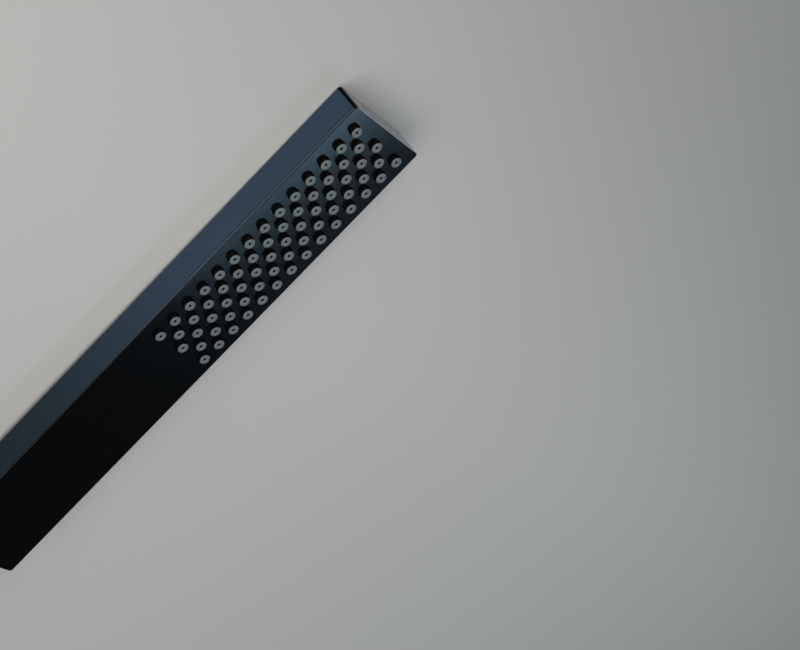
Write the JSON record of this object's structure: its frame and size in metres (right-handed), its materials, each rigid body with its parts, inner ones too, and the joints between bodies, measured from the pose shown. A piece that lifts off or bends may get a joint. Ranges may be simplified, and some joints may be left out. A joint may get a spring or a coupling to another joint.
{
  "type": "hand shower",
  "caption": "Flat rectangular bar hand shower with a flush spray plate, staggered rows of soft nozzles, a threaded hose inlet and a check valve inside.",
  "frame": {"origin": "centre of the hose inlet's mouth, where the hose's washer seats", "axes": "+X along the bar from the inlet to the head, +Z out of the spray face, +Y across the bar"},
  "size_m": [0.2634, 0.044, 0.021],
  "materials": {
    "black_coated_metal": "satin black coating over cast metal, with a fine grain",
    "black_satin_plastic": "smooth satin black",
    "grey_silicone": "soft grey silicone",
    "white_plastic": "natural white moulded plastic",
    "steel_mesh": "plain stainless steel",
    "inlet_brass": "turned brass, black on the collar",
    "black_rubber": "black sealing rubber"
  },
  "bodies": {
    "bar": {"body_shell": "black_coated_metal", "spray_plate": "black_satin_plastic", "nozzle_mat": "grey_silicone", "diffuser_plate": "white_plastic", "chamber_gasket": "black_rubber", "water_tray": "white_plastic", "inlet_nipple": "inlet_brass", "nipple_seal": "black_rubber", "inlet_strainer": "steel_mesh", "limiter_body": "white_plastic", "limiter_ring": "black_rubber", "valve_body": "white_plastic", "valve_seal": "black_rubber", "valve_guide": "white_plastic", "valve_spring": "steel_mesh"},
    "poppet": {"valve_poppet": "white_plastic", "poppet_seal": "black_rubber"}
  },
  "joints": [
    {"name": "poppet_slide", "type": "slide", "parent": "bar", "child": "poppet", "axis": [1, 0, 0], "range_m": [0, 0.0014], "stiffness_N_per_m": 60, "springref_m": -0.001, "deforming": ["valve_spring"]}
  ]
}
